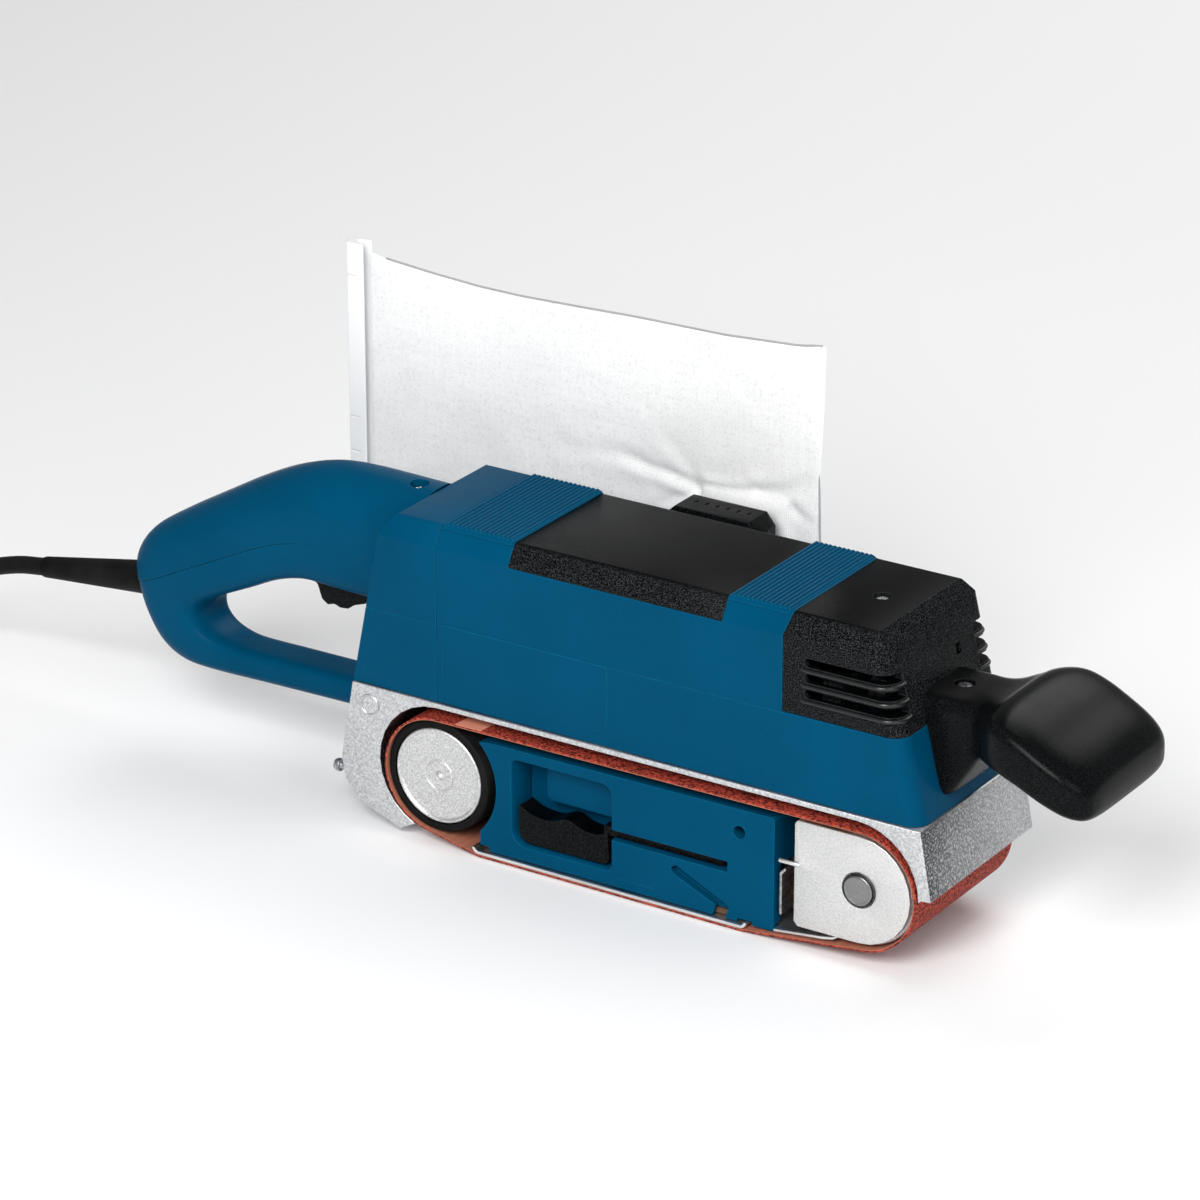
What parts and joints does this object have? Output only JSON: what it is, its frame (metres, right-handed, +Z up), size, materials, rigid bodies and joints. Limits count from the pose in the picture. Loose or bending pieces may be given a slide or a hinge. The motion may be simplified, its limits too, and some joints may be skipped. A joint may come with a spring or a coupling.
{
  "type": "handheld belt sander",
  "caption": "Corded handheld belt sander with rear D handle, front knob handle, sprung front roller, side release lever and cloth dust bag.",
  "frame": {"origin": "centre of the sanding belt's flat working face, midway between the roller axles", "axes": "+X towards the tool's front, +Y towards its left side with the drive belt cover and dust bag, +Z up"},
  "size_m": [0.705, 0.1727, 0.2036],
  "materials": {
    "blue_plastic": "satin, fine moulded grain",
    "black_plastic": "fine spark-eroded grain",
    "cast_aluminium": "die cast, finely blasted",
    "steel": "brushed",
    "brass": "plain",
    "copper": "copper windings and bars",
    "black_rubber": "matte",
    "abrasive": "cloth-backed aluminium oxide grit",
    "cork": "pressed cork",
    "white_cloth": "plain woven cotton",
    "white_plastic": "smooth"
  },
  "bodies": {
    "tool_body": {"side_plate": "blue_plastic", "main_housing": "blue_plastic", "gear_housing": "blue_plastic", "handle_upper_shell": "blue_plastic", "handle_lower_shell": "blue_plastic", "drive_belt_cover": "blue_plastic", "top_cover": "black_plastic", "front_cap": "black_plastic", "switch_module": "black_plastic", "front_handle": "black_plastic", "front_bearing_bridge": "black_plastic", "dust_port": "black_plastic", "plug": "black_plastic", "frame_casting": "cast_aluminium", "gear_case": "cast_aluminium", "sole_plate": "steel", "belt_guide_strip": "steel", "roller_bearing_inner": "steel", "roller_bearing_outer": "steel", "tension_spring": "steel", "lever_leaf_spring": "steel", "lever_pin": "steel", "cap_screw": "steel", "handle_screw": "steel", "front_handle_screw": "steel", "motor_stator": "steel", "motor_bearing_rear": "steel", "motor_bearing_front": "steel", "cross_shaft_bearing": "steel", "brush_holder_near": "brass", "brush_holder_far": "brass", "toothed_drive_belt": "black_rubber", "cord_sleeve": "black_rubber", "cord_tube": "black_rubber", "cord_coil": "black_rubber", "sanding_belt": "abrasive", "sole_pad": "cork"},
    "drive_roller_body": {"drive_roller": "cast_aluminium", "roller_sleeve": "black_rubber", "roller_shaft": "steel", "driven_pulley": "black_plastic"},
    "cross_shaft_body": {"cross_shaft": "steel", "bevel_gear": "steel", "drive_pulley": "steel"},
    "motor_rotor": {"motor_shaft": "steel", "armature_core": "copper", "commutator": "copper", "cooling_fan": "black_plastic", "bevel_pinion": "steel"},
    "fork_body": {"roller_fork": "steel", "idler_axle": "steel"},
    "idler_body": {"idler_roller": "cast_aluminium", "idler_bearing_near": "steel", "idler_bearing_far": "steel"},
    "lever_body": {"belt_release_lever": "black_plastic"},
    "trigger_body": {"trigger": "black_plastic"},
    "lock_button_body": {"lock_on_button": "black_plastic"},
    "speed_wheel_body": {"speed_wheel": "black_plastic"},
    "bag_body": {"dust_bag": "white_cloth"},
    "bag_rail_body": {"bag_slide_rail": "white_plastic"}
  },
  "joints": [
    {"name": "drive_roller_spin", "type": "hinge", "parent": "tool_body", "child": "drive_roller_body", "pos_m": [-0.0955, 0, 0.0296], "axis": [0, 1, 0], "continuous": true},
    {"name": "cross_shaft_spin", "type": "hinge", "parent": "tool_body", "child": "cross_shaft_body", "pos_m": [-0.106, 0, 0.096], "axis": [0, 1, 0], "continuous": true},
    {"name": "motor_spin", "type": "hinge", "parent": "tool_body", "child": "motor_rotor", "pos_m": [0, 0, 0.096], "axis": [1, 0, 0], "continuous": true},
    {"name": "release_lever_swing", "type": "hinge", "parent": "tool_body", "child": "lever_body", "pos_m": [0.032, -0.03, 0.0246], "axis": [0, 0, 1], "range_deg": [0, 90]},
    {"name": "fork_slide", "type": "slide", "parent": "tool_body", "child": "fork_body", "axis": [1, 0, 0], "range_m": [-0.004, 0], "deforming": ["tension_spring"]},
    {"name": "idler_spin", "type": "hinge", "parent": "fork_body", "child": "idler_body", "pos_m": [0.0955, 0, 0.0305], "axis": [0, 1, 0], "continuous": true},
    {"name": "trigger_pull", "type": "hinge", "parent": "tool_body", "child": "trigger_body", "pos_m": [-0.15, 0, 0.0905], "axis": [0, 1, 0], "range_deg": [0, 7], "stiffness_Nm_per_rad": 0.5},
    {"name": "lock_button_press", "type": "slide", "parent": "tool_body", "child": "lock_button_body", "axis": [0, -1, 0], "range_m": [0, 0.0025], "stiffness_N_per_m": 300},
    {"name": "speed_wheel_turn", "type": "hinge", "parent": "tool_body", "child": "speed_wheel_body", "pos_m": [-0.11, 0.029, 0.121], "axis": [0, 0, 1], "range_deg": [0, 300]},
    {"name": "dust_bag_pull_off", "type": "slide", "parent": "tool_body", "child": "bag_body", "axis": [0, 1, 0], "range_m": [0, 0.035]},
    {"name": "bag_rail_slide_off", "type": "slide", "parent": "bag_body", "child": "bag_rail_body", "axis": [0, 0, 1], "range_m": [0, 0.12]}
  ],
  "couplings": [
    {"joint": "cross_shaft_spin", "follows": "drive_roller_spin", "ratio": 2.6667},
    {"joint": "motor_spin", "follows": "drive_roller_spin", "ratio": 8},
    {"joint": "idler_spin", "follows": "drive_roller_spin", "ratio": 1},
    {"joint": "fork_slide", "follows": "release_lever_swing", "m_per_rad": -0.0025465}
  ]
}
